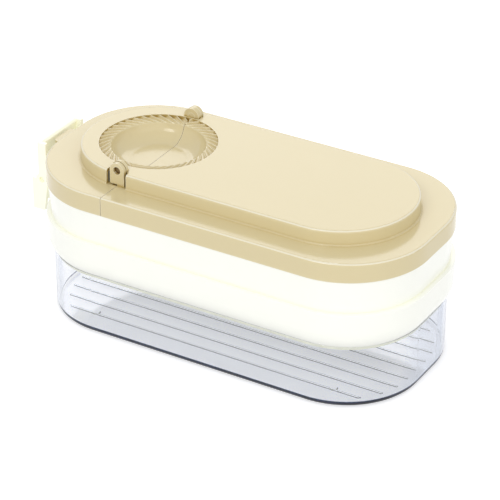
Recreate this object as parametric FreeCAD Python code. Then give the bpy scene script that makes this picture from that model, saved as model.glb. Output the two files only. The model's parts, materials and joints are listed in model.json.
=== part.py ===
"""Dumpling maker: a clear box, two trays and a lid whose end folds over as a dumpling mould.

Millimetres, +Z up. The floor is z = 0, the middle of the lid is x = y = 0,
the mould lies towards -X and the front towards -Y.
"""
import FreeCAD
import Part
import math
import os

V = FreeCAD.Vector
UP = V(0, 0, 1)

# Outline of the whole stack, seen from above
half_length = 135.0
half_width = 68.5
end_flat = 13.1
corner_radius = half_width - end_flat

# Walls and the gaps between parts
wall = 2.0
floor = 1.8
plug_wall = 1.6
soft_edge = 0.5
floor_strip = 20.0
lift_gap = 0.4
run_gap = 0.05
tight_gap = 0.02
side_gap = 0.4
parting_gap = 0.3

# Heights of the stacked parts
base_height = 44.3
lower_height = 24.6
upper_height = 22.6
skirt_height = 12.8
plateau_height = 9.9
lower_seat = base_height
upper_seat = lower_seat + lower_height
lid_seat = upper_seat + upper_height
ledge_top = lid_seat + skirt_height
plateau_top = ledge_top + plateau_height

# Clear box
base_inset = 3.3
base_draft = 0.3
base_rounding = 3.5
pip_radius = 3.0
pip_height = 0.6
pip_end_inset = 46.0
pip_side_inset = 24.0
pip_x = half_length - pip_end_inset
pip_y = half_width - pip_side_inset
rib_count = 9
rib_side_inset = 22.1
rib_pitch = 2 * (half_width - rib_side_inset) / (rib_count - 1)
rib_width = 1.3
rib_height = 0.5
rib_inset = 11.5

# Trays
rim_outset = 0.8
belly_height = 5.5
belly_rounding = 15.0
tray_draft = 0.3
bead_height = 2.0
upper_top_inset = 0.6
upper_foot_inset = 2.6
tray_corner = 4.0
plug_depth = 3.0

# Lid
skirt_rounding = 1.6
ledge_strip = 8.0
ledge_end = 17.9
ledge_side = 18.3
plateau_length = half_length - ledge_end
plateau_width = half_width - ledge_side
plateau_draft = 0.4
plateau_rounding = 1.6
plateau_foot = 1.2
plateau_strip = 6.0
tab_drop = 5.0
tab_reach = 8.5
tab_half_width = 9.6
tab_thickness = 3.3
tab_bevel = 1.3
tab_rounding = 3.0
tab_top = ledge_top - tab_drop
tab_tip = -half_length - tab_reach

# Mould, centred where the plateau's round end has its centre
mould_x = plateau_width - plateau_length
hinge_band = 11.6
mould_radius = plateau_width - hinge_band
rim_width = 7.6
bowl_radius = mould_radius - rim_width
bowl_depth = 12.4
bowl_turn = 13.25
bowl_edge_rounding = 2.0
crest_drop = 0.1
rim_slope = 1.4
collar_depth = 4.2
flute_count = 42
flute_slant = 52.0
flute_fill = 0.96
bowl_rise = bowl_depth - crest_drop - rim_slope
bowl_flat = bowl_radius - math.sqrt(bowl_turn ** 2 - (bowl_turn - bowl_rise) ** 2)
bowl_floor_z = plateau_top - bowl_depth

# Hinge of the flap
axis_lift = 0.6
axis_z = plateau_top + axis_lift
ear_radius = 5.25
ear_thickness = 2.6
ear_overhang = 9.6
ear_slot = 2.2
front_setback = 1.2
rear_setback = 3.8
front_knuckle = 2.1
rear_knuckle = 3.6
knuckle_radius = 5.6
shelf_half_length = 9.0
pin_radius = 2.6
pin_recess = 1.9

# Latch, drawn let go; turned back by the free angle it hooks over the tab
pivot_out = 10.4
pivot_rise = 5.6
pivot_x = -half_length - pivot_out
pivot_z = upper_seat + pivot_rise
latch_half_width = 22.0
latch_thickness = 1.8
cheek_thickness = 2.5
cheek_reach = 4.2
lug_radius = 3.5
lug_thickness = 3.0
latch_pin_radius = 2.0
latch_pin_recess = 1.9
free_angle = 5.0
hook_gap = 0.3
hook_bite = 1.1
hook_rise = 0.4
hook_height = 2.0
plate_rise = 5.0
grip_reach = 7.6
grip_depth = 9.0
grip_length = 22.7


def rounded_face(corners, place):
    """A flat face through corners given as (across, up, rounding), put in space by place."""
    stops = []
    for before, here, after in zip(corners[-1:] + corners[:-1], corners, corners[1:] + corners[:1]):
        tip = V(here[0], here[1], 0)
        if here[2] == 0:
            stops.append((tip, None, tip))
            continue
        back = (V(before[0], before[1], 0) - tip).normalize()
        ahead = (V(after[0], after[1], 0) - tip).normalize()
        half_angle = back.getAngle(ahead) / 2
        reach = here[2] / math.tan(half_angle)
        depth = here[2] / math.sin(half_angle) - here[2]
        middle = tip + (back + ahead).normalize() * depth
        stops.append((tip + back * reach, middle, tip + ahead * reach))
    edges = []
    for stop, following in zip(stops, stops[1:] + stops[:1]):
        if stop[1]:
            edges.append(Part.Arc(place(stop[0]), place(stop[1]), place(stop[2])).toShape())
        if stop[2].distanceToPoint(following[0]) > 1e-6:
            edges.append(Part.makeLine(place(stop[2]), place(following[0])))
    return Part.Face(Part.Wire(edges))


def flipped(shape, direction):
    """The mirror image across the middle of the stack."""
    return shape.mirror(V(0, 0, 0), direction)


def joined(shapes):
    """Several pieces grown together as one solid."""
    return shapes[0].multiFuse(shapes[1:]).removeSplitter()


def carried(section, length, width, corner):
    """A section, drawn as (inset, height, rounding), carried all the way round an outline."""
    along = length - corner
    across = width - corner
    turn = rounded_face(section, lambda p: V(length - p.x, across, p.y))
    turn = turn.revolve(V(along, across, 0), UP, 90)
    side = rounded_face(section, lambda p: V(-along, width - p.x, p.y)).extrude(V(2 * along, 0, 0))
    half = [turn, flipped(turn, V(1, 0, 0)), side]
    pieces = half + [flipped(piece, V(0, 1, 0)) for piece in half]
    if across > 0:
        end = rounded_face(section, lambda p: V(length - p.x, -across, p.y))
        end = end.extrude(V(0, 2 * across, 0))
        pieces += [end, flipped(end, V(1, 0, 0))]
    return joined(pieces)


def plate(length, width, corner, low, high):
    """A flat plate with rounded corners between two heights."""
    signs = ((-1, -1), (1, -1), (1, 1), (-1, 1))
    corners = [(x * length, y * width, corner) for x, y in signs]
    return rounded_face(corners, lambda p: V(p.x, p.y, low)).extrude(V(0, 0, high - low))


def stack_ring(section):
    """A section carried round the outline of the stack."""
    return carried(section, half_length, half_width, corner_radius)


def stack_plate(inset, low, high):
    """A plate that follows the outline of the stack at an inset."""
    return plate(half_length - inset, half_width - inset, corner_radius - inset, low, high)


def plateau_plate(inset, low, high):
    """A plate that follows the outline of the plateau at an inset."""
    return plate(plateau_length - inset, plateau_width - inset, plateau_width - inset, low, high)


def block(x_range, y_range, z_range):
    """A plain block between pairs of limits."""
    size = [limits[1] - limits[0] for limits in (x_range, y_range, z_range)]
    return Part.makeBox(size[0], size[1], size[2], V(x_range[0], y_range[0], z_range[0]))


def bar(radius, x, z, y_range):
    """A round bar along Y."""
    return Part.makeCylinder(radius, y_range[1] - y_range[0], V(x, y_range[0], z), V(0, 1, 0))


def make_base_box():
    """The clear box with its rounded foot, ribbed floor and four low pips."""
    section = [
        (base_inset, base_height, soft_edge),
        (base_inset + base_draft, 0, base_rounding),
        (floor_strip, 0, 0),
        (floor_strip, floor, 0),
        (base_inset + base_draft + wall, floor, base_rounding - wall),
        (base_inset + wall, base_height, soft_edge),
    ]
    pieces = [stack_ring(section), stack_plate(floor_strip, 0, floor)]
    rib_bed = stack_plate(rib_inset, floor - floor / 4, floor + rib_height)
    for number in range(rib_count):
        middle = (number - (rib_count - 1) / 2) * rib_pitch
        sides = (middle - rib_width / 2, middle + rib_width / 2)
        pieces.append(rib_bed.common(block((-half_length, half_length), sides, (0, base_height))))
    for x in (-pip_x, pip_x):
        for y in (-pip_y, pip_y):
            pieces.append(Part.makeCone(pip_radius, pip_radius - pip_height, pip_height, V(x, y, floor)))
    return joined(pieces)


def make_lower_tray():
    """The tray on the box: a bellied wall, a rim bead and a plug ring inside the box."""
    plug = base_inset + wall + lift_gap
    outer = -rim_outset + tray_draft
    top = upper_seat
    bead = upper_foot_inset + plug_wall - lift_gap
    section = [
        (-rim_outset, top, soft_edge),
        (outer, lower_seat + belly_height, belly_rounding),
        (base_inset, lower_seat, 0),
        (plug, lower_seat, 0),
        (plug, lower_seat - plug_depth, 0),
        (plug + plug_wall, lower_seat - plug_depth, 0),
        (plug + plug_wall, lower_seat, 0),
        (floor_strip, lower_seat, 0),
        (floor_strip, lower_seat + floor, 0),
        (base_inset + wall, lower_seat + floor, wall),
        (outer + wall, lower_seat + belly_height + floor / 2, belly_rounding - wall),
        (wall - rim_outset, top - bead_height - wall, 0),
        (bead, top - bead_height, 0),
        (bead, top, soft_edge),
    ]
    return joined([stack_ring(section), stack_plate(floor_strip, lower_seat, lower_seat + floor)])


def make_upper_tray():
    """The tray under the lid: tapered walls, a plug ring and the two lugs of the latch."""
    plug = upper_foot_inset + plug_wall
    section = [
        (upper_top_inset, lid_seat, soft_edge),
        (upper_foot_inset, upper_seat, 0),
        (plug, upper_seat, 0),
        (plug, upper_seat - plug_depth, 0),
        (plug + plug_wall, upper_seat - plug_depth, 0),
        (plug + plug_wall, upper_seat, 0),
        (floor_strip, upper_seat, 0),
        (floor_strip, upper_seat + floor, 0),
        (upper_foot_inset + wall, upper_seat + floor, tray_corner),
        (upper_top_inset + wall, lid_seat, soft_edge),
    ]
    pieces = [stack_ring(section), stack_plate(floor_strip, upper_seat, upper_seat + floor)]
    root = -half_length + upper_foot_inset + wall / 2
    holes = []
    for low, high in lug_slabs():
        arm = block((pivot_x, root), (low, high), (pivot_z - lug_radius, pivot_z + lug_radius))
        pieces += [arm, bar(lug_radius, pivot_x, pivot_z, (low, high))]
        holes.append(bar(latch_pin_radius + tight_gap, pivot_x, pivot_z, (low, high)))
    return joined(pieces).cut(holes)


def lug_slabs():
    """The limits across the stack of the two lugs, inside the cheeks of the latch."""
    outer = latch_half_width - cheek_thickness - side_gap
    return [(-outer, lug_thickness - outer), (outer - lug_thickness, outer)]


def make_latch():
    """The lever: a hook plate above the pin and a grip plate below it, held by two cheeks."""
    hook_low = tab_top + hook_rise
    hook_top = hook_low + hook_height
    swing = (hook_low - pivot_z) * math.tan(math.radians(free_angle))
    inner = tab_tip - hook_gap - swing
    outer = inner - latch_thickness
    nose = inner + hook_gap + hook_bite
    edge = latch_thickness / 4
    hook_line = [
        (outer, pivot_z + plate_rise, edge),
        (inner, pivot_z + plate_rise, edge),
        (inner, hook_low, edge),
        (nose, hook_low, 0),
        (nose, hook_low + hook_height / 2, edge),
        (inner, hook_top, 0),
        (outer, hook_top, edge),
    ]
    grip = pivot_x - grip_reach
    grip_low = pivot_z - grip_length
    grip_line = [
        (grip, grip_low, edge),
        (grip + latch_thickness, grip_low, edge),
        (grip + latch_thickness, pivot_z, edge),
        (grip, pivot_z, edge),
    ]
    reach = pivot_x + cheek_reach
    cheek_line = [
        (grip, grip_low, edge),
        (grip + grip_depth, grip_low, edge),
        (reach, pivot_z - cheek_reach, cheek_reach),
        (reach, hook_top, edge),
        (outer, hook_top, edge),
        (outer, pivot_z, 0),
        (grip, pivot_z, edge),
    ]
    start = -latch_half_width
    pieces = []
    for line in (hook_line, grip_line):
        face = rounded_face(line, lambda p: V(p.x, start, p.y))
        pieces.append(face.extrude(V(0, 2 * latch_half_width, 0)))
    holes = []
    for low in (start, latch_half_width - cheek_thickness):
        slab = (low, low + cheek_thickness)
        cheek = rounded_face(cheek_line, lambda p: V(p.x, low, p.y)).extrude(V(0, cheek_thickness, 0))
        pieces += [cheek, bar(cheek_reach, pivot_x, pivot_z, slab)]
        holes.append(bar(latch_pin_radius + run_gap, pivot_x, pivot_z, slab))
    return joined(pieces).cut(holes)


def make_latch_pin():
    """The pin of the latch, sunk a little below both cheeks."""
    end = latch_half_width - latch_pin_recess
    return bar(latch_pin_radius, pivot_x, pivot_z, (-end, end))


def mould_point(radius, z):
    """A point of the mould's section at a radius and a height."""
    return V(mould_x + radius, 0, z)


def bowl_curve(extra, top):
    """Start, middle and end of the bowl's curved wall, moved out by extra and ending at a height."""
    radius = bowl_turn + extra
    centre = mould_point(bowl_flat, bowl_floor_z + bowl_turn)
    end = math.acos((centre.z - top) / radius)
    return [centre + V(math.sin(a), 0, -math.cos(a)) * radius for a in (0, end / 2, end)]


def mould_surface():
    """The upper side of the mould: arcs and lines from the middle of the bowl out to the rim."""
    centre = mould_point(bowl_flat, bowl_floor_z + bowl_turn)
    sharp = mould_point(bowl_radius, bowl_floor_z + bowl_rise)
    outside = mould_point(mould_radius, plateau_top - crest_drop)
    along = (outside - sharp).normalize()
    down = V(along.z, 0, -along.x) * bowl_edge_rounding
    start = sharp + down - centre
    reach = bowl_turn + bowl_edge_rounding
    slide = math.sqrt(start.dot(along) ** 2 - start.dot(start) + reach ** 2) - start.dot(along)
    edge_centre = sharp + down + along * slide
    to_bowl = (centre - edge_centre).normalize() * bowl_edge_rounding
    low = edge_centre + to_bowl
    high = edge_centre - down
    between = edge_centre + (to_bowl - down).normalize() * bowl_edge_rounding
    middle = mould_point(0, bowl_floor_z)
    wall_curve = bowl_curve(0, low.z)
    return [[middle, wall_curve[0]], [high, outside]], [wall_curve, [low, between, high]]


def turned(lines, arcs):
    """A solid turned about the middle of the mould from arcs joined by straight lines."""
    edges = [Part.Arc(arc[0], arc[1], arc[2]).toShape() for arc in arcs]
    edges += [Part.makeLine(a, b) for line in lines for a, b in zip(line, line[1:])]
    face = Part.Face(Part.Wire(Part.sortEdges(edges)[0]))
    return face.revolve(V(mould_x, 0, 0), UP, 360)


def make_mould_shell():
    """The bowl with its sloping rim and the collar that hangs it in the plateau."""
    lines, arcs = mould_surface()
    outer = bowl_curve(wall, plateau_top - collar_depth - rim_slope)
    middle = lines[0][0]
    lines.append([
        lines[1][1],
        mould_point(mould_radius, plateau_top),
        mould_point(mould_radius + wall, plateau_top),
        mould_point(mould_radius + wall, plateau_top - collar_depth),
        outer[2],
    ])
    lines.append([middle, middle - UP * wall, outer[0]])
    return turned(lines, arcs + [outer])


def make_mould_hollow():
    """The free space of the mould, from its surface up past the plateau."""
    lines, arcs = mould_surface()
    above = plateau_top + plateau_height
    lines.append([lines[1][1], mould_point(mould_radius, above), mould_point(0, above), lines[0][0]])
    return turned(lines, arcs)


def make_flutes(side):
    """The slanting flutes to be cut into one half of the rim, each widening towards the outside."""
    phase = 0.5 if side > 0 else 0
    step = 2 * math.pi / flute_count
    middle_radius = (mould_radius + bowl_radius) / 2
    offset = middle_radius * math.sin(math.radians(flute_slant))
    inner_radius = bowl_radius - wall / 2
    outer_radius = mould_radius + wall
    run_in = math.sqrt(inner_radius ** 2 - offset ** 2)
    run_out = math.sqrt(outer_radius ** 2 - offset ** 2)
    slope = rim_slope / rim_width
    crest = plateau_top - crest_drop
    start = crest - slope * (mould_radius - inner_radius)
    end = crest + slope * (outer_radius - mould_radius)
    bed = Part.makeCylinder(mould_radius, 2 * bowl_depth, V(mould_x, 0, plateau_top - bowl_depth))
    flutes = []
    for number in range(flute_count):
        angle = (number + phase) * step
        along = V(side * math.cos(angle), math.sin(angle), 0)
        across = V(-side * math.sin(angle), math.cos(angle), 0)
        first = mould_point(0, start) + along * run_in + across * offset
        last = mould_point(0, end) + along * run_out + across * offset
        if max(side * (first.x - mould_x), side * (last.x - mould_x)) < -parting_gap:
            continue
        thin = flute_fill * step * run_in / 2
        thick = flute_fill * step * run_out / 2
        cone = Part.makeCone(thin, thick, first.distanceToPoint(last), first, last - first)
        flutes.append(cone.common(bed))
    return flutes


def make_lid_shell():
    """Skirt, ledge, plateau and mould as they lie before the lid is parted at the hinge."""
    under_ledge = ledge_top - wall
    under_top = plateau_top - wall
    skirt = stack_ring([
        (0, lid_seat, 0),
        (0, ledge_top, skirt_rounding),
        (ledge_strip, ledge_top, 0),
        (ledge_strip, under_ledge, 0),
        (wall, under_ledge, soft_edge),
        (wall, lid_seat, 0),
    ])
    rise = carried([
        (-plateau_strip, ledge_top, 0),
        (-plateau_draft, ledge_top, plateau_foot),
        (0, plateau_top, plateau_rounding),
        (plateau_strip, plateau_top, 0),
        (plateau_strip, under_top, 0),
        (wall, under_top, soft_edge),
        (wall - plateau_draft, under_ledge, 0),
        (-plateau_strip, under_ledge, 0),
    ], plateau_length, plateau_width, plateau_width)
    ledge = stack_plate(ledge_strip, under_ledge, ledge_top)
    ledge = ledge.cut(plateau_plate(-plateau_strip, under_ledge, ledge_top))
    top = plateau_plate(plateau_strip, under_top, plateau_top)
    top = top.cut(Part.makeCylinder(mould_radius + wall, plateau_top, V(mould_x, 0, 0)))
    pieces = [skirt, rise, ledge, top]
    wall_x = (mould_x - parting_gap / 2 - wall, mould_x + parting_gap / 2 + wall)
    inside = half_width - wall / 2
    inside_top = plateau_width - wall / 2
    pieces.append(block(wall_x, (-inside, inside), (lid_seat, ledge_top - wall / 2)))
    pieces.append(block(wall_x, (-inside_top, inside_top), (ledge_top - wall / 2, plateau_top - wall / 2)))
    shelf_x = (mould_x - shelf_half_length, mould_x + shelf_half_length)
    for end in (-1, 1):
        knuckle, ear = hinge_limits(end)
        shelf_y = hinge_slab(knuckle[1], ear[1] + wall, end)
        pieces.append(block(shelf_x, shelf_y, (under_ledge, ledge_top)))
    shell = joined(pieces).cut(make_mould_hollow())
    return joined([shell, make_mould_shell()])


def hinge_slab(inner, outer, end):
    """Limits along the hinge for one end, front (-1) or rear (+1)."""
    return (inner, outer) if end > 0 else (-outer, -inner)


def hinge_limits(end):
    """How far out the knuckle and the ear of one end reach, each as inner and outer face."""
    setback = rear_setback if end > 0 else front_setback
    length = rear_knuckle if end > 0 else front_knuckle
    ear_outer = plateau_width - setback
    ear_inner = ear_outer - ear_thickness
    knuckle_outer = ear_inner - side_gap
    return (knuckle_outer - length, knuckle_outer), (ear_inner, ear_outer)


def lid_half(shell, side):
    """One side of the parting line with its flutes and with the notches beside the hinge ears."""
    edge = mould_x + side * parting_gap / 2
    far = side * 2 * half_length
    x_range = (min(edge, far), max(edge, far))
    y_range = (-half_width, half_width)
    half = shell.common(block(x_range, y_range, (lid_seat, axis_z)))
    notch_x = (mould_x - ear_radius - ear_slot, mould_x + ear_radius + ear_slot)
    cuts = make_flutes(side)
    for end in (-1, 1):
        knuckle, ear = hinge_limits(end)
        notch_y = hinge_slab(knuckle[1], half_width, end)
        cuts.append(block(notch_x, notch_y, (ledge_top, axis_z)))
    return half.cut(cuts)


def make_lid_main(shell):
    """The long side of the lid: ears for the hinge, pockets for the knuckles, a plug ring for the tray."""
    half = lid_half(shell, 1)
    plug = upper_foot_inset + wall + lift_gap
    plug_end = mould_x + parting_gap + wall
    ring = stack_ring([
        (plug, ledge_top - wall, 0),
        (plug, lid_seat - plug_depth, 0),
        (plug + plug_wall, lid_seat - plug_depth, 0),
        (plug + plug_wall, ledge_top - wall, 0),
    ])
    ring = ring.common(block((plug_end, half_length), (-half_width, half_width), (0, plateau_top)))
    pieces = [ring]
    pockets = []
    holes = []
    edge = mould_x + parting_gap / 2
    for end in (-1, 1):
        knuckle, ear = hinge_limits(end)
        slab = hinge_slab(ear[0], ear[1], end)
        pocket = hinge_slab(knuckle[0] - side_gap, knuckle[1] + side_gap, end)
        pockets.append(bar(knuckle_radius + side_gap, mould_x, axis_z, pocket))
        sides = (mould_x - ear_radius, mould_x + ear_radius)
        pieces.append(block(sides, slab, (axis_z - ear_overhang, axis_z)))
        pieces.append(block((edge, sides[1]), slab, (ledge_top - wall, axis_z)))
        pieces.append(bar(ear_radius, mould_x, axis_z, slab))
        holes.append(bar(pin_radius + tight_gap, mould_x, axis_z, slab))
    return joined([half.cut(pockets)] + pieces).cut(holes)


def make_lid_flap(shell):
    """The folding end of the lid: knuckles, room for the swing of the ears, and the tab."""
    half = lid_half(shell, -1)
    swing = math.hypot(ear_radius, ear_overhang) + side_gap
    edge = mould_x - parting_gap / 2
    reliefs = []
    pieces = [make_tab()]
    holes = []
    for end in (-1, 1):
        knuckle, ear = hinge_limits(end)
        slab = hinge_slab(knuckle[1], ear[1] + side_gap, end)
        room = block((mould_x - ear_radius - side_gap, mould_x), slab, (axis_z - swing, axis_z))
        reliefs.append(bar(swing, mould_x, axis_z, slab).common(room))
        slab = hinge_slab(knuckle[0], knuckle[1], end)
        pieces.append(bar(knuckle_radius, mould_x, axis_z, slab))
        pieces.append(block((mould_x - knuckle_radius, edge), slab, (ledge_top - wall, axis_z)))
        holes.append(bar(pin_radius + run_gap, mould_x, axis_z, slab))
    return joined([half.cut(reliefs)] + pieces).cut(holes)


def make_tab():
    """The thumb tab at the end of the flap, which the latch hooks over; its tip is bevelled below."""
    low = tab_top - tab_thickness
    root = wall / 2 - half_length
    outline = [
        (root, -tab_half_width, 0),
        (root, tab_half_width, 0),
        (tab_tip, tab_half_width, tab_rounding),
        (tab_tip, -tab_half_width, tab_rounding),
    ]
    tab = rounded_face(outline, lambda p: V(p.x, p.y, low)).extrude(V(0, 0, tab_thickness))
    wedge = [(tab_tip, low, 0), (-half_length, low, 0), (tab_tip, low + tab_bevel, 0)]
    wedge = rounded_face(wedge, lambda p: V(p.x, -tab_half_width, p.y))
    return tab.cut(wedge.extrude(V(0, 2 * tab_half_width, 0)))


def pin_range(end):
    """Limits of one hinge pin: sunk into the outer face of its ear, level with the end of its knuckle."""
    knuckle, ear = hinge_limits(end)
    return hinge_slab(knuckle[0], ear[1] - pin_recess, end)


def make_hinge_pin(end):
    """One hinge pin, tight in its ear and free in its knuckle."""
    return bar(pin_radius, mould_x, axis_z, pin_range(end))


def make_parts():
    """Every part of the dumpling maker by its name."""
    shell = make_lid_shell()
    return {
        "base_box": make_base_box(),
        "lower_tray": make_lower_tray(),
        "upper_tray": make_upper_tray(),
        "lid_main": make_lid_main(shell),
        "lid_flap": make_lid_flap(shell),
        "hinge_pin_front": make_hinge_pin(-1),
        "hinge_pin_rear": make_hinge_pin(1),
        "latch": make_latch(),
        "latch_pin": make_latch_pin(),
    }


os.makedirs("parts", exist_ok=True)
for name, shape in make_parts().items():
    print(name, shape.isValid(), len(shape.Solids), round(shape.Volume / 1000, 2))
    shape.exportStep("parts/" + name + ".step")
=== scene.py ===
# %% [markdown]
# # Dressing a dumpling maker
# The real thing is a clear box, two ivory trays and a beige lid, all moulded in plastic and
# stacked on each other. One end of the lid is a round mould that folds over on a hinge and
# crimps a dumpling. Its shapes come ready made, one mesh for each piece, so this lesson is
# about finishes, light and the camera. The ready meshes stay as they are: they only get
# new materials in their slots. All lengths are in metres.

# %% Load the pieces
import bpy
import bmesh
import json
from math import cos, radians, sin
from mathutils import Color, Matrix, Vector


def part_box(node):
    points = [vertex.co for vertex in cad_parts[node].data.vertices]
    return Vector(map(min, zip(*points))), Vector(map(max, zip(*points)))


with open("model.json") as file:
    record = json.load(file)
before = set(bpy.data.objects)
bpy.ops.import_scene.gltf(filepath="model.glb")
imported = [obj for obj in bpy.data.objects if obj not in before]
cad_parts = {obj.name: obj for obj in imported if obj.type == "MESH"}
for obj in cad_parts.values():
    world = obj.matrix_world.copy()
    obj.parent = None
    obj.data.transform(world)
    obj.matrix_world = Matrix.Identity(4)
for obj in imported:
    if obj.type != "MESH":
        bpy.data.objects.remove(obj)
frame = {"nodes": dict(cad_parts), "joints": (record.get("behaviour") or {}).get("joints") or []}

scene = bpy.context.scene
bpy.context.view_layer.update()

# %% [markdown]
# ## The camera
# The picture was taken from the front right, about thirty degrees above the table, with a
# long lens: the far edges of the lid are hardly smaller than the near ones. A camera can be
# placed by eye, but it is easier to aim it: name the point it looks at, the turn, the rise
# and the distance, and let the vector to the lens give the rotation. The lamps are aimed at
# the same point later, so a helper does the aiming.

# %% Aim the camera
look_at = Vector((0.00167, 0.0, 0.0533))
turn = radians(30.74)
rise = radians(29.94)
distance = 1.5506
film_width = 36.0
focal_length = 173.05


def aim(name, data, place):
    """A camera or lamp at a place, turned towards the product."""
    made = bpy.data.objects.new(name, data)
    made.location = place
    made.rotation_euler = (Vector(place) - look_at).to_track_quat("Z", "Y").to_euler()
    scene.collection.objects.link(made)
    return made


to_lens = Vector((sin(turn) * cos(rise), -cos(turn) * cos(rise), sin(rise)))
lens = bpy.data.cameras.new("table_camera")
lens.sensor_width = film_width
lens.lens = focal_length
scene.camera = aim("table_camera", lens, look_at + to_lens * distance)
print("camera at", [round(value, 3) for value in scene.camera.location])

# %% [markdown]
# ## Small helpers for nodes
# Every finish below is a little tree of nodes, and a few helpers keep the cells short. The
# first turns a colour, given in steps from 0 to 255, into the linear value that a
# shader works with. The next gives a material or the world an empty tree. The third adds a
# node and fills its inputs, each with a plain value or with the output of another node. The
# last does a sum on such outputs.

# %% Helpers for colours and nodes
def shade(red, green, blue):
    """A colour in steps from 0 to 255 as a linear colour."""
    picked = Color([step / 255 for step in (red, green, blue)])
    return [*picked.from_srgb_to_scene_linear(), 1.0]


def empty_tree(owner):
    """The node tree of a material or world, with nothing in it."""
    owner.use_nodes = True
    owner.node_tree.nodes.clear()
    return owner.node_tree


def add(tree, kind, values=None, **settings):
    """A new node: settings by name, and for each input a value or the output that feeds it."""
    made = tree.nodes.new(kind)
    for key, value in settings.items():
        setattr(made, key, value)
    for socket, value in (values or {}).items():
        if isinstance(value, bpy.types.NodeSocket):
            tree.links.new(value, made.inputs[socket])
        else:
            made.inputs[socket].default_value = value
    return made


def calculate(tree, operation, *terms):
    """The result of a math node on numbers or outputs."""
    return add(tree, "ShaderNodeMath", dict(enumerate(terms)), operation=operation).outputs[0]


print("a mid grey step of 188 is linear", round(shade(188, 188, 188)[0], 3))

# %% [markdown]
# ## The table
# The product stands on a seamless white table. A white table that is lit like the product
# would come out a little grey, so it glows by itself, but only where the camera, a gloss or
# a see-through wall looks at it. Light that falls on the product from below is then still
# the plain bounce of the lamps, and the soft shadow round the foot stays. The table lies a
# hair below the foot, so that the two flat faces don't fight over the same place.

# %% Make the table
table_reach = 3.0
table_drop = 0.0003

table_mesh = bpy.data.meshes.new("table")
shape = bmesh.new()
bmesh.ops.create_grid(shape, x_segments=8, y_segments=8, size=table_reach)
bmesh.ops.translate(shape, verts=shape.verts, vec=(0.0, 0.0, -table_drop))
shape.to_mesh(table_mesh)
shape.free()
table = bpy.data.objects.new("table", table_mesh)
scene.collection.objects.link(table)
print("table is", round(table.dimensions.x, 2), "m wide")

# %% Paint the table
table_colour = shade(236, 236, 238)
table_glow = 0.46


def where_seen(tree):
    """Gives 1 where the camera, a gloss or a see-through wall looks, and 0 to other light."""
    path = add(tree, "ShaderNodeLightPath").outputs
    straight_or_mirrored = calculate(tree, "MAXIMUM", path["Is Camera Ray"], path["Is Glossy Ray"])
    return calculate(tree, "MAXIMUM", straight_or_mirrored, path["Is Transmission Ray"])


table_finish = bpy.data.materials.new("white_table")
tree = empty_tree(table_finish)
glow_level = calculate(tree, "MULTIPLY", where_seen(tree), table_glow)
paint = add(tree, "ShaderNodeBsdfDiffuse", {"Color": table_colour})
glow = add(tree, "ShaderNodeEmission", {"Strength": glow_level})
both = add(tree, "ShaderNodeAddShader", {0: paint.outputs[0], 1: glow.outputs[0]})
add(tree, "ShaderNodeOutputMaterial", {"Surface": both.outputs[0]})
table_mesh.materials.append(table_finish)
print(table_finish.name, "glows at", table_glow)

# %% [markdown]
# ## The room
# Product pictures like this one are taken in a tent of white cloth: light comes from
# everywhere, and whatever is glossy or clear shows white. The world does that job. It sends
# a moderate light to matt surfaces and shows plain white to the camera, in reflections and
# through clear walls.

# %% White room
room_light = 0.77
plain_white = 1.0

world = bpy.data.worlds.new("white_tent")
tree = empty_tree(world)
cloth = add(tree, "ShaderNodeBackground", {"Color": shade(252, 253, 255), "Strength": room_light})
white = add(tree, "ShaderNodeBackground", {"Color": shade(255, 255, 255), "Strength": plain_white})
pick = add(tree, "ShaderNodeMixShader", {"Fac": where_seen(tree), 1: cloth.outputs[0], 2: white.outputs[0]})
add(tree, "ShaderNodeOutputWorld", {"Surface": pick.outputs[0]})
scene.world = world
scene.view_settings.view_transform = "Standard"
print("room light", room_light)

# %% [markdown]
# ## The lamps
# Most of the light comes from the room, so the lid is almost equally bright all the way
# round. Three soft boxes shape the plastic. One stands low behind the product, just where the
# glossy lid mirrors it towards the lens: that is what makes the flat top paler than the
# ledge, which mirrors the wall of the plateau instead. A wide one on the right fills in the
# front and the round end. The key is small, hangs high in front, and puts the bright spot on
# the far wall of the bowl. Each is aimed at the product in the same way as the camera.

# %% Soft boxes
def soft_box(name, place, width, height, watts):
    """A rectangular lamp that faces the product."""
    lamp = bpy.data.lights.new(name, "AREA")
    lamp.shape = "RECTANGLE"
    lamp.size = width
    lamp.size_y = height
    lamp.energy = watts
    aim(name, lamp, place)
    print(name, "of", watts, "W at", place)


soft_box("lamp_behind", place=(-0.75, 1.25, 0.85), width=1.1, height=0.7, watts=3.9)
soft_box("lamp_right", place=(1.25, -1.05, 0.90), width=2.4, height=1.4, watts=7.0)
soft_box("lamp_key", place=(-0.05, -1.25, 1.15), width=0.6, height=0.4, watts=4.2)

# %% [markdown]
# ## What moulded plastic looks like close up
# A polished steel mould leaves a skin that is never quite even. Where the melt met and
# cooled there are faint clouds in the colour, the gloss wanders a little, and under a raking
# light there is a very fine orange peel. Grooves and slots get painted shade: an occlusion
# node finds those places and a gamma deepens the colour there, standing in for light that
# bounces from plastic to plastic. A second one looks inwards and finds sharp crests, which
# get a painted highlight and come out lighter. All the plastics of this product share that, so
# it is made once, as a group of nodes that only hands out values that vary over the surface.
# Three helpers come first: a group with its named sockets, a noise, and a ramp that moves a value from one
# span to another.

# %% Helpers for groups
COLOUR = "NodeSocketColor"
NUMBER = "NodeSocketFloat"
pale_grey = (0.8, 0.8, 0.8, 1.0)


def new_group(name, inputs, outputs):
    """A node group with named sockets, and what its inputs hand in."""
    made = bpy.data.node_groups.new(name, "ShaderNodeTree")
    for label, (kind, start) in inputs.items():
        made.interface.new_socket(label, in_out="INPUT", socket_type=kind).default_value = start
    for label, kind in outputs.items():
        made.interface.new_socket(label, in_out="OUTPUT", socket_type=kind)
    return made, add(made, "NodeGroupInput").outputs


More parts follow.
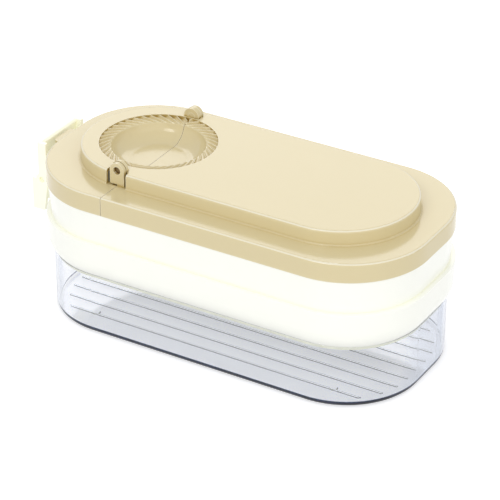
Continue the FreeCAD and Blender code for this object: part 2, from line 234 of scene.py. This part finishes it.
def noise(tree, place, scale, detail, roughness):
    """A soft random value that changes from place to place."""
    values = {"Vector": place, "Scale": scale, "Detail": detail, "Roughness": roughness}
    return add(tree, "ShaderNodeTexNoise", values).outputs["Fac"]


def ramp(tree, value, between=(0.0, 1.0), gives=(0.0, 1.0)):
    """A value moved from one span to another and held at its ends."""
    ends = {"From Min": between[0], "From Max": between[1], "To Min": gives[0], "To Max": gives[1]}
    return add(tree, "ShaderNodeMapRange", {"Value": value, **ends}).outputs[0]


print("sockets of a group are of kind", COLOUR, "or", NUMBER)

# %% Group: moulded skin
gloss_patches = 75.0
cloud_span = (0.25, 0.75)
gloss_span = (0.3, 0.7)
groove_reach = 0.0035
groove_span = (0.2, 0.8)
crest_reach = 0.0007
crest_span = (0.5, 0.9)
rays = 8

skin, given = new_group(
    "Moulded skin with painted shade",
    inputs={
        "Colour": (COLOUR, pale_grey),
        "Cloud depth": (NUMBER, 0.05),
        "Cloud scale": (NUMBER, 28.0),
        "Peel scale": (NUMBER, 900.0),
        "Gloss from": (NUMBER, 0.2),
        "Gloss to": (NUMBER, 0.3),
        "Groove shade": (NUMBER, 2.6),
        "Edge shine": (NUMBER, 1.0),
    },
    outputs={"Colour": COLOUR, "Roughness": NUMBER, "Height": NUMBER},
)
place = add(skin, "ShaderNodeTexCoord").outputs["Object"]
clouds = noise(skin, place, given["Cloud scale"], detail=3.0, roughness=0.55)
wander = noise(skin, place, gloss_patches, detail=4.0, roughness=0.6)
peel = noise(skin, place, given["Peel scale"], detail=2.0, roughness=0.5)

darkest = calculate(skin, "SUBTRACT", 1.0, given["Cloud depth"])
bright = ramp(skin, clouds, between=cloud_span, gives=(darkest, 1.0))
cloudy = add(skin, "ShaderNodeHueSaturation", {"Color": given["Colour"], "Value": bright})
gloss = ramp(skin, wander, between=gloss_span, gives=(given["Gloss from"], given["Gloss to"]))

# Painted shade: where occlusion finds a groove or slot, the colour is deepened.
open_sky = add(skin, "ShaderNodeAmbientOcclusion", {"Distance": groove_reach}, samples=rays)
painted_groove_shade = ramp(skin, open_sky.outputs["AO"], between=groove_span, gives=(given["Groove shade"], 1.0))
# Painted highlight: where an inward occlusion finds a sharp crest, the colour is lightened.
crest = add(skin, "ShaderNodeAmbientOcclusion", {"Distance": crest_reach}, samples=rays, inside=True)
painted_crest_highlight = ramp(skin, crest.outputs["AO"], between=crest_span, gives=(given["Edge shine"], 1.0))
power = calculate(skin, "MULTIPLY", painted_groove_shade, painted_crest_highlight)
shaded = add(skin, "ShaderNodeGamma", {"Color": cloudy.outputs["Color"], "Gamma": power})
add(skin, "NodeGroupOutput", {"Colour": shaded.outputs["Color"], "Roughness": gloss, "Height": peel})
print("group", skin.name, "with", len(skin.nodes), "nodes")

# %% [markdown]
# ## A painted highlight along the rounded edges
# The upper edges of the lid are rounded, and a rounded edge gathers the light of the whole
# room into a thin pale line; here that line is a painted highlight. There are two such
# edges, one round the ledge and one round the flat top. The group finds them by height and
# by a surface that leans halfway, which the Z of its normal tells, and pales the colour there.
# The mould has edges at the same height, so a round patch is left out; its middle is where the flap is
# hinged.

# %% Group: edge gleam
ledge_level = 0.1043
top_level = 0.1142
edge_rounding = 0.0016
halfway_up = 0.76
halfway_spread = 0.19
mould_reach = 0.0415
pale_power = 0.5

fold = next(joint for joint in frame["joints"] if joint["name"] == "flap_fold")
mould_centre = (*fold["pos_m"][:2], top_level)


def split(tree, vector):
    """The X, Y and Z of a vector."""
    return add(tree, "ShaderNodeSeparateXYZ", {"Vector": vector}).outputs


def product(tree, first, *others):
    """Several outputs multiplied with each other."""
    for other in others:
        first = calculate(tree, "MULTIPLY", first, other)
    return first


gleam, given = new_group("Painted edge highlight", inputs={"Colour": (COLOUR, pale_grey)}, outputs={"Colour": COLOUR})
where = add(gleam, "ShaderNodeTexCoord").outputs
height = split(gleam, where["Object"])["Z"]
upward = split(gleam, where["Normal"])["Z"]
bands = [
    calculate(gleam, "COMPARE", height, level - edge_rounding / 2, edge_rounding / 2)
    for level in (ledge_level, top_level)
]
on_edge = calculate(gleam, "MAXIMUM", *bands)
leaning = calculate(gleam, "COMPARE", upward, halfway_up, halfway_spread)
from_mould = add(gleam, "ShaderNodeVectorMath", {0: where["Object"], 1: mould_centre}, operation="DISTANCE")
off_mould = calculate(gleam, "GREATER_THAN", from_mould.outputs["Value"], mould_reach)
# Painted highlight: the colour is paled along the two rounded upper edges.
power = ramp(gleam, product(gleam, on_edge, leaning, off_mould), gives=(1.0, pale_power))
pale = add(gleam, "ShaderNodeGamma", {"Color": given["Colour"], "Gamma": power})
add(gleam, "NodeGroupOutput", {"Colour": pale.outputs["Color"]})
print("group", gleam.name, "with", len(gleam.nodes), "nodes")

# %% [markdown]
# ## Beige lid
# The lid is the only coloured part: a warm beige with a soft gloss. The folding end and the
# rear hinge pin are the same plastic. The front pin sits deep in its ear, where shade falls,
# so it takes a darker and duller grade: its darker colour is painted shade. A function makes
# every grade: it puts the shared skin, with the grade's own values, on a shader of the material's own.

# %% A plastic and who wears it
plastic_ior = 1.5
peel_strength = 0.12
peel_height = 0.0001


def skin_on(tree, colour, cloud_depth, gloss, groove_depth, edge_shine=1.0):
    """What the shared skin hands out for a material's own values."""
    values = {
        "Colour": colour,
        "Cloud depth": cloud_depth,
        "Gloss from": gloss[0],
        "Gloss to": gloss[1],
        "Groove shade": groove_depth,
        "Edge shine": edge_shine,
    }
    return add(tree, "ShaderNodeGroup", values, node_tree=skin).outputs


def plastic(name, colour, glow=0.0, painted_edge_highlight=False, **skin_values):
    """A moulded plastic: the shared skin on a shader of its own."""
    made = bpy.data.materials.new(name)
    tree = empty_tree(made)
    coat = skin_on(tree, colour, **skin_values)
    base = coat["Colour"]
    # The edge group paints a highlight on the rounded edges.
    if painted_edge_highlight:
        base = add(tree, "ShaderNodeGroup", {"Colour": base}, node_tree=gleam).outputs["Colour"]
    relief = {"Strength": peel_strength, "Distance": peel_height, "Height": coat["Height"]}
    bump = add(tree, "ShaderNodeBump", relief)
    # A glow above zero is painted light: the plastic shines by itself though no lamp is there.
    shader = add(tree, "ShaderNodeBsdfPrincipled", {
        "Base Color": base,
        "Roughness": coat["Roughness"],
        "Normal": bump.outputs["Normal"],
        "IOR": plastic_ior,
        "Emission Color": colour,
        "Emission Strength": glow,
    })
    add(tree, "ShaderNodeOutputMaterial", {"Surface": shader.outputs[0]})
    return made


def dress(material, *names):
    """Puts a material in the slot of each named piece."""
    for name in names:
        frame["nodes"][name].material_slots[0].material = material
    print(material.name, "on", ", ".join(names))


print("every plastic wears", skin.name, "and bends light by", plastic_ior)

# %% Beige plastic
beige = plastic(
    "beige_plastic", shade(219, 204, 160), painted_edge_highlight=True,
    cloud_depth=0.012, gloss=(0.13, 0.17), groove_depth=3.0, edge_shine=0.6,
)
dress(beige, "lid_main", "lid_flap", "hinge_pin_rear")
# Painted shade: the front pin is coloured darker to stand in for the shade deep in its ear.
pin_painted_shade = plastic(
    "pin_painted_shade_plastic", shade(150, 128, 84),
    cloud_depth=0.012, gloss=(0.22, 0.28), groove_depth=2.6,
)
dress(pin_painted_shade, "hinge_pin_front")

# %% [markdown]
# ## Ivory trays
# The trays and the latch are a warm white, a touch softer in gloss than the lid. Thin ivory
# plastic lets some light of the white room through. A glow of its own colour is painted light
# that stands in for it: a very faint one on the trays, and a stronger one on the latch, whose
# plates are thin and whose shaded faces it lifts, so that it looks almost white from every side.

# %% Ivory plastic
ivory_skin = {"cloud_depth": 0.010, "gloss": (0.20, 0.26)}
# The faint glow on the trays and the stronger one on the latch are painted light.
ivory = plastic("ivory_plastic", shade(253, 253, 243), glow=0.03, groove_depth=2.4, **ivory_skin)
dress(ivory, "lower_tray", "upper_tray", "latch_pin")
ivory_painted_glow = plastic("ivory_painted_glow_plastic", shade(252, 251, 229), glow=0.15, groove_depth=1.3, **ivory_skin)
dress(ivory_painted_glow, "latch")

# %% [markdown]
# ## Clear box
# The box is clear, with the faint cool tint of a styrene plastic. It bends light as glass
# does. Where the eye looks along a wall it looks through far more plastic, and a tint that
# is passed many times deepens as a power of itself: a layer weight finds those places and a
# gamma raises the tint. The right end mirrors the darker side of the room, so the tint is
# deepened there as well, as a painted reflection. The rounded foot shows a dark line just
# above the table, where it bends the eye into its own shadow; that line is painted shade. It is
# picked out by height, by a surface that doesn't face upwards, and by being seen from outside,
# so the far side stays clear. The flat underside takes only a small share of the painted shade, or the whole
# floor would turn dark.

# %% Clear plastic: where the tint deepens
wall_power = 14.0
wall_span = (0.62, 0.96)
end_power = 9.0
end_span = (0.35, 0.75)
end_start = 0.0237
end_full = 0.0017
foot_power = 120.0
foot_span = (0.0037, 0.0043)
upward_span = (0.03, 0.10)
underside_span = (-0.98, -0.94)
underside_share = 0.08

box_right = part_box("base_box")[1].x
clear = bpy.data.materials.new("clear_plastic")
tree = empty_tree(clear)
along_wall = add(tree, "ShaderNodeLayerWeight").outputs["Facing"]
where = add(tree, "ShaderNodeTexCoord").outputs
spot = split(tree, where["Object"])
upward = split(tree, where["Normal"])["Z"]
from_inside = add(tree, "ShaderNodeNewGeometry").outputs["Backfacing"]

thick = ramp(tree, along_wall, between=wall_span, gives=(1.0, wall_power))
slant = ramp(tree, along_wall, between=end_span, gives=(0.0, end_power))
# Painted reflection: the right end is tinted deeper where it mirrors the darker side of the room.
right_end_painted_reflection = ramp(tree, spot["X"], between=(box_right - end_start, box_right - end_full))
walls = calculate(tree, "MAXIMUM", thick, product(tree, slant, right_end_painted_reflection))

# Painted shade: a dark line round the foot just above the table; the flat underside takes a small share.
foot = ramp(tree, spot["Z"], between=foot_span, gives=(foot_power, 0.0))
not_upward = ramp(tree, upward, between=upward_span, gives=(1.0, 0.0))
not_flat = ramp(tree, upward, between=underside_span, gives=(underside_share, 1.0))
from_outside = ramp(tree, from_inside, gives=(1.0, 0.0))
foot_painted_shade_line = product(tree, foot, not_upward, from_outside, not_flat)
tint_power = calculate(tree, "MAXIMUM", foot_painted_shade_line, walls)
print("tint raised to", wall_power, "along walls,", end_power, "at the right end,", foot_power, "at the foot")

# %% [markdown]
# Lamp light would stop at the walls, as a renderer finds no straight way through glass, so
# for shadow rays alone the wall is let go almost completely.

# %% Clear plastic: shader
shadow_alpha = 0.12

coat = skin_on(tree, shade(247, 248, 250), cloud_depth=0.01, gloss=(0.0, 0.04), groove_depth=1.0)
deep_tint = add(tree, "ShaderNodeGamma", {"Color": coat["Colour"], "Gamma": tint_power})
shadow_ray = add(tree, "ShaderNodeLightPath").outputs["Is Shadow Ray"]
shader = add(tree, "ShaderNodeBsdfPrincipled", {
    "Base Color": deep_tint.outputs["Color"],
    "Roughness": coat["Roughness"],
    "Alpha": ramp(tree, shadow_ray, gives=(1.0, shadow_alpha)),
    "IOR": plastic_ior,
    "Transmission Weight": 1.0,
})
add(tree, "ShaderNodeOutputMaterial", {"Surface": shader.outputs[0]})
dress(clear, "base_box")

# %% [markdown]
# ## Finish
# The view layer is brought up to date at the end.

# %% Finish
bpy.context.view_layer.update()
